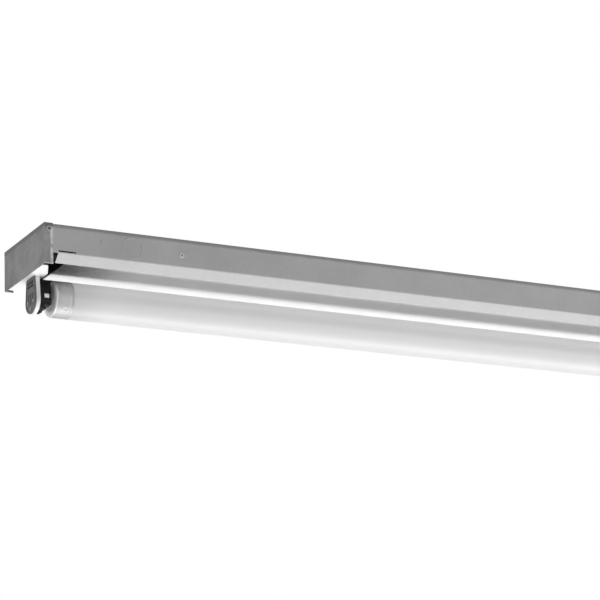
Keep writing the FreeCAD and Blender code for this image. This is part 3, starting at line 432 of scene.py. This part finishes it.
housing_grey = grey(0.465)
enamel = {"colour": housing_grey, "roughness": 0.42, "blotch": 0.08, "edge": 0.4 * mm,
          "edge_colour": grey(0.40)}
finishes = {
    "channel_enamel": {"paint": channel_paint, **enamel},
    "cap_enamel": {"paint": cap_paint, **enamel},
    "rivet_enamel": {"colour": housing_grey, "roughness": 0.42, "edge": 0.2 * mm},
    # The bores are darker than the heads: painted shade inside the rivets' hollows.
    "rivet_bore_painted_shade": {"colour": grey(0.14), "roughness": 0.6},
    # The bridge rivets' heads are paler than the housing.
    "pale_rivet_head": {"colour": grey(0.66), "roughness": 0.4},
    "painted_bore": {"colour": grey(0.50), "roughness": 0.6},
    "cover_enamel": {"colour": grey(0.90), "roughness": 0.34, "rough_spread": 0.02,
                     "edge": 0.3 * mm, "paint": painted_end_shade},
    "zinc": {"colour": grey(0.62), "roughness": 0.34, "metallic": 1.0, "edge": 0.2 * mm},
    "holder_grey": {"colour": grey(0.15), "roughness": 0.48, "blotch": 0.25, "edge": 0.4 * mm},
    "holder_white": {"colour": grey(0.84), "roughness": 0.40, "edge": 0.3 * mm},
    "seam_white": {"colour": grey(0.80), "roughness": 0.40},
    "holder_black": {"colour": grey(0.010), "roughness": 0.42, "edge": 0.4 * mm,
                     "extra": {"Specular IOR Level": 0.15}},
    "terminal_black": {"colour": grey(0.02), "roughness": 0.5},
    "eyelet_metal": {"colour": grey(0.34), "roughness": 0.38, "metallic": 0.8},
    "contact_metal": {"colour": (0.80, 0.79, 0.76, 1.0), "roughness": 0.42, "metallic": 0.6},
    # The lamp is unlit: its emission is a painted glow for light spread through the coating.
    "lamp_coating": {"colour": grey(0.46), "roughness": 0.36, "rough_spread": 0.01,
                     "blotch": 0.01, "relief": 0.004, "paint": greyed_ends,
                     "extra": {"Specular IOR Level": 0.35, "Emission Color": white,
                               "Emission Strength": 0.24}},
    "lamp_cap_metal": {"colour": grey(0.52), "roughness": 0.55, "metallic": 0.35,
                       "blotch": 0.06, "relief": 0.05, "paint": painted_light_face},
    "lamp_disc_plastic": {"colour": grey(0.80), "roughness": 0.5},
    "pin_metal": {"colour": grey(0.80), "roughness": 0.3, "metallic": 1.0},
    "cathode_glass": {"colour": grey(0.70), "roughness": 0.1},
    "ballast_enamel": {"colour": grey(0.72), "roughness": 0.35, "edge": 0.3 * mm},
    "potting": {"colour": grey(0.04), "roughness": 0.6, "relief": 0.3},
    "bushing_plastic": {"colour": grey(0.03), "roughness": 0.45},
    "wire_insulation": {"colour": (0.02, 0.03, 0.09, 1.0), "roughness": 0.38},
    "clip_nylon": {"colour": grey(0.80), "roughness": 0.42},
    "connector_plastic": {"colour": (0.80, 0.28, 0.04, 1.0), "roughness": 0.32},
    "ground_green": {"colour": (0.02, 0.22, 0.06, 1.0), "roughness": 0.3},
}
made_finishes = {}


def finish(name):
    """The material of that name, made when it is first asked for."""
    if name not in made_finishes:
        made_finishes[name] = surface(name, **finishes[name])
    return made_finishes[name]


def both_ends(*names):
    return [f"{name}_{side}" for name in names for side in side_names]


dressed_nodes = {
    "channel_enamel": ["channel"] + both_ends("knockouts"),
    "cap_enamel": both_ends("end_cap"),
    "rivet_enamel": ["end_cap_rivets", "bridge_rivets"],
    "cover_enamel": ["cover"],
    "zinc": ["ballast_screws", "ballast_base"] + both_ends("bridge", "latch"),
    "holder_grey": both_ends("holder_back"),
    "holder_white": both_ends("holder_body"),
    "holder_black": both_ends("holder_front", "rotor"),
    "contact_metal": both_ends("contacts"),
    "lamp_coating": ["lamp_glass"],
    "lamp_cap_metal": both_ends("lamp_cap"),
    "lamp_disc_plastic": both_ends("lamp_disc"),
    "pin_metal": both_ends("lamp_pins"),
    "cathode_glass": both_ends("cathode"),
    "ballast_enamel": ["ballast_can"],
    "potting": ["ballast_filling"],
    "bushing_plastic": ["ballast_bushings"],
    "wire_insulation": ["supply_leads"] + both_ends("lamp_wires"),
    "clip_nylon": ["wire_clips"],
    "connector_plastic": ["wire_connectors"],
    "ground_green": ["ground_screw"],
}


def dress_nodes():
    for name, worn_by in dressed_nodes.items():
        for node in worn_by:
            slots = nodes[node].data.materials
            slots.clear()
            slots.append(finish(name))


# Shapes

sharp_angle = 35
bead_angle = 60


def close_mesh(name, form, sharp):
    """Turns a form into a mesh that is smooth but for its sharp edges."""
    bmesh.ops.recalc_face_normals(form, faces=form.faces)
    mesh = bpy.data.meshes.new(name)
    form.to_mesh(mesh)
    form.free()
    mesh.shade_smooth()
    mesh.set_sharp_from_angle(angle=math.radians(sharp))
    return mesh


def loft(form, rings, closed):
    """Joins rings of points. A closed loft meets its own start, an open one is capped."""
    rows = [[form.verts.new(point) for point in ring] for ring in rings]
    pairs = list(zip(rows, rows[1:] + rows[:1])) if closed else list(zip(rows, rows[1:]))
    for first, last in pairs:
        for number in range(len(first)):
            after = (number + 1) % len(first)
            form.faces.new((first[number], first[after], last[after], last[number]))
    if not closed:
        form.faces.new(rows[0])
        form.faces.new(reversed(rows[-1]))


def turned(form, axis, centre, outline, count, closed=True):
    """Turns an outline of (place along the axis, radius) about an axis through the centre."""
    first, second = [letter for letter in range(3) if letter != axis]
    rings = []
    for along, radius in outline:
        ring = []
        for number in range(count):
            angle = 2 * math.pi * number / count
            point = list(centre)
            point[axis] = along
            point[first] += radius * math.cos(angle)
            point[second] += radius * math.sin(angle)
            ring.append(point)
        rings.append(ring)
    loft(form, rings, closed)


def outer_face(node, side):
    """Where an end piece's outer face lies, and a step of one millimetre inward from it."""
    low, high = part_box(node)
    return (low.x, mm) if side == "left" else (high.x, -mm)


def add_piece(name, form, finish_name, body, stands_for=(), sharp=sharp_angle):
    """A new piece that wears a finish, rides on a body and may stand for CAD nodes."""
    mesh = close_mesh(name, form, sharp)
    mesh.materials.append(finish(finish_name))
    piece = bpy.data.objects.new(name, mesh)
    bpy.context.scene.collection.objects.link(piece)
    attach(piece, body)
    if stands_for:
        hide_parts(*stands_for)
    return piece


# Lamp caps
# Each point is the depth from the cap's face and the drop from its full radius.

cap_segments = 192
disc_play = 0.05
cap_edge = [(0.0, 2.0), (0.25, 1.1), (0.9, 0.35), (2.0, 0.0), (8.0, 0.0)]
cap_groove = [(16.2, 0.0), (16.7, 0.35), (17.4, 0.35), (17.9, 0.0), (19.6, 0.0)]
cap_inside = [(20.0, 0.25), (20.0, 0.6), (2.0, 0.6), (0.7, 1.6), (0.6, 2.4)]
window_depths = (0.0, 0.6)
dimple_place = 11.5
dimple_radius = 2.0
dimple_sink = 0.5
dimple_rings_each_way = 5
dimple_rings_per_mm = 2
radius_slack = 0.01


def make_lamp_cap(side):
    """A drawn cup with a rounded face edge, four staked dimples and a rolled groove."""
    low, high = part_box(f"lamp_cap_{side}")
    face, inward = outer_face(f"lamp_cap_{side}", side)
    centre = (low + high) / 2
    outer = (high.z - low.z) / 2
    window_low, window_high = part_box(f"lamp_disc_{side}")
    window = (window_high.z - window_low.z) / 2 + disc_play * mm
    dimple_wall = [(dimple_place + step / dimple_rings_per_mm, 0.0)
                   for step in range(-dimple_rings_each_way, dimple_rings_each_way + 1)]
    wall = [(depth, outer - drop * mm)
            for depth, drop in cap_edge + dimple_wall + cap_groove + cap_inside]
    outline = [(window_depths[0], window), *wall, (window_depths[1], window)]
    form = bmesh.new()
    turned(form, 0, centre, [(face + depth * inward, radius) for depth, radius in outline],
           cap_segments)
    for vertex in form.verts:
        arm = Vector((0, vertex.co.y - centre.y, vertex.co.z - centre.z))
        if arm.length < outer - radius_slack * mm:
            continue
        depth = (vertex.co.x - face) / inward
        angle = math.atan2(arm.z, arm.y) % (math.pi / 2) - math.pi / 4
        reach = math.hypot(depth - dimple_place, angle * outer / mm) / dimple_radius
        if reach < 1:
            vertex.co -= arm.normalized() * dimple_sink * mm * (1 - reach ** 2) ** 2
    add_piece(f"cap_shell_{side}", form, "lamp_cap_metal", "lamp",
              [f"lamp_cap_{side}"])


# Rivets
# Each point is the height over the head's seat, or over the end of the grip, and the radius.

rivet_segments = 40
head_rise = 0.9
rivet_head = [
    (0.0, 1.60), (0.0, 3.0), (0.25, 2.95), (0.55, 2.6), (0.78, 2.1), (0.88, 1.7),
    (0.80, 1.46), (0.10, 1.40), (0.10, 0.9), (0.30, 0.78), (0.34, 0.4), (0.34, 0.05),
]
upset_end = [(-0.9, 0.05), (-0.9, 2.0), (-0.7, 2.3), (0.0, 2.3), (0.0, 1.6)]
bore_radius = 1.45
bore_reach = 0.95
cap_grip = 1.7
bridge_grip = 1.9


def make_rivets(node, grip, head, bore):
    """Blind rivets with a domed head, a hollow middle and an upset end inside."""
    low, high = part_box(node)
    radius = (high.z - low.z) / 2
    middle = (low.z + high.z) / 2
    places = (low.x + radius, high.x - radius)
    rivet = [(height - grip, reach) for height, reach in upset_end] + rivet_head
    form = bmesh.new()
    for x in places:
        for way in (-1, 1):
            seat = (high.y - head_rise * mm) * way
            outline = [(seat + height * mm * way, reach * mm) for height, reach in rivet]
            turned(form, 1, (x, 0, middle), outline, rivet_segments, closed=False)
    # Faces in the hollow take the bore's finish, a painted shade.
    for face in form.faces:
        place = face.calc_center_median()
        near = min(abs(place.x - x) for x in places)
        hollow = math.hypot(near, place.z - middle) < bore_radius * mm
        face.material_index = int(hollow and abs(place.y) > high.y - bore_reach * mm)
    piece = add_piece(f"{node}_domed", form, head, "housing", [node])
    piece.data.materials.append(finish(bore))


# Knockouts
# Each point is the lift over the sheet's outer face and the radius.

bead_segments = 72
knockout_radius = 10.75
knockout_groove = 0.35
raised_bead = [
    (-0.15, 10.70), (0.0, 10.10), (0.16, 10.45), (0.24, 10.95), (0.16, 11.35), (0.0, 11.70),
    (-0.15, 11.15),
]
sunk_film = [(-0.24, 10.73), (-0.10, 10.73), (-0.15, 10.92), (-0.10, 11.12), (-0.24, 11.12)]


def make_knockout_beads(side):
    """Paint bridges the groove round each disc. On the sides its sheared edge stands proud."""
    low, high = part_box(f"knockouts_{side}")
    radius = knockout_radius * mm
    on_sides, on_top = low.x + radius, high.x - radius
    if side == "right":
        on_sides, on_top = on_top, on_sides
    middle = low.z + (knockout_radius + knockout_groove) * mm
    form = bmesh.new()
    for way in (-1, 1):
        outline = [((high.y + lift * mm) * way, reach * mm) for lift, reach in raised_bead]
        turned(form, 1, (on_sides, 0, middle), outline, bead_segments)
    outline = [(lift * mm, reach * mm) for lift, reach in sunk_film]
    turned(form, 2, (on_top, 0, 0), outline, bead_segments)
    add_piece(f"knockout_beads_{side}", form, "rivet_enamel", "housing",
              sharp=bead_angle)


# Lampholders
# Each point is the depth from the holder's outer face and the inset from its outline. In the
# turned cups and eyelets it is the depth and the radius, and the seam's depth counts from the
# middle of the body.

neck_half = 10.5
neck_corner = 1.0
corner_turns = (0, 45, 90)
round_steps = 32


def holder_ring(side, along, inset):
    """The holder's outline drawn in by the inset: a neck that widens down to a round end."""
    low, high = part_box(f"holder_back_{side}")
    radius = high.y - inset
    centre = low.z + high.y
    neck = neck_half * mm - inset
    top = high.z - inset
    corner = neck_corner * mm
    ring = []
    for way in (1, -1):
        for turn in corner_turns:
            angle = math.radians(turn if way > 0 else 90 - turn)
            ring.append((along, way * (neck - corner + corner * math.cos(angle)),
                         top - corner + corner * math.sin(angle)))
    for number in range(round_steps + 1):
        angle = math.pi * (1 + number / round_steps)
        ring.append((along, radius * math.cos(angle), centre + radius * math.sin(angle)))
    return ring


shell_rim = [(2.0, 0.0), (0.5, 0.0), (0.15, 0.15), (0.0, 0.5), (0.0, 1.7), (0.2, 1.95),
             (0.55, 2.1)]
rib_places = (-5.0, 0.0, 5.0)
rib_edge = [(0.6, 0.0), (0.15, 0.0), (0.05, 0.15), (0.05, 0.35)]
rib_half_width = 0.55
rib_half_height = 6.0
rib_drop = 3.5


def make_holder_shell(side):
    """A moulded back with a raised rim and three ribs."""
    low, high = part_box(f"holder_back_{side}")
    face, inward = outer_face(f"holder_back_{side}", side)
    middle = (low.z + high.z) / 2 - rib_drop * mm
    form = bmesh.new()
    loft(form, [holder_ring(side, face + depth * inward, inset * mm) for depth, inset in shell_rim],
         closed=False)
    for across in rib_places:
        rings = []
        for depth, inset in rib_edge:
            half, tall = (rib_half_width - inset) * mm, (rib_half_height - inset) * mm
            corners = ((half, tall), (-half, tall), (-half, -tall), (half, -tall))
            rings.append([(face + depth * inward, across * mm + y, middle + z)
                          for y, z in corners])
        loft(form, rings, closed=False)
    add_piece(f"back_shell_{side}", form, "holder_grey", "housing",
              [f"holder_back_{side}"])


entry_segments = 24
entry_rows = 2
entry_places = (-6.0, -2.0, 2.0, 6.0)
entry_drop = 5.2
entry_pitch = 3.8
entry_cup = [(0.56, 1.45), (0.30, 1.45), (0.22, 1.3), (0.22, 1.05), (0.54, 1.0), (0.54, 0.05)]


def make_wire_entries(side):
    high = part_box(f"holder_back_{side}")[1]
    face, inward = outer_face(f"holder_back_{side}", side)
    outline = [(face + depth * inward, reach * mm) for depth, reach in entry_cup]
    form = bmesh.new()
    for row in range(entry_rows):
        for across in entry_places:
            place = (0, across * mm, high.z - (entry_drop + entry_pitch * row) * mm)
            turned(form, 0, place, outline, entry_segments, closed=False)
    add_piece(f"wire_entries_{side}", form, "terminal_black", "housing")


eyelet_segments = 32
eyelet_places = ((-7.2, 12.0), (7.2, 12.0), (0.0, 4.6))
eyelet_rim = [(0.56, 2.1), (0.28, 2.1), (0.12, 1.9), (0.06, 1.5), (0.14, 1.15), (0.5, 1.0),
              (0.5, 0.05)]


def make_eyelets(side):
    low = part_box(f"holder_back_{side}")[0]
    face, inward = outer_face(f"holder_back_{side}", side)
    outline = [(face + depth * inward, reach * mm) for depth, reach in eyelet_rim]
    form = bmesh.new()
    for across, height in eyelet_places:
        place = (0, across * mm, low.z + height * mm)
        turned(form, 0, place, outline, eyelet_segments, closed=False)
    add_piece(f"eyelets_{side}", form, "eyelet_metal", "housing")


seam_bead = [(-0.30, 0.10), (-0.18, -0.10), (0.18, -0.10), (0.30, 0.10)]


def make_mould_seam(side):
    """The bead left where the halves of the mould met."""
    low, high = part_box(f"holder_body_{side}")
    middle = (low.x + high.x) / 2
    form = bmesh.new()
    loft(form, [holder_ring(side, middle + depth * mm, inset * mm) for depth, inset in seam_bead],
         closed=True)
    add_piece(f"mould_seam_{side}", form, "seam_white", "housing")


def make_pieces():
    for side in side_names:
        make_lamp_cap(side)
        make_holder_shell(side)
        make_wire_entries(side)
        make_eyelets(side)
        make_mould_seam(side)
        make_knockout_beads(side)
    make_rivets("end_cap_rivets", cap_grip, "rivet_enamel", "rivet_bore_painted_shade")
    make_rivets("bridge_rivets", bridge_grip, "pale_rivet_head", "painted_bore")


bpy.context.scene.view_settings.view_transform = "Standard"
make_camera()
make_floor()
make_world()
make_lights()
dress_nodes()
make_pieces()
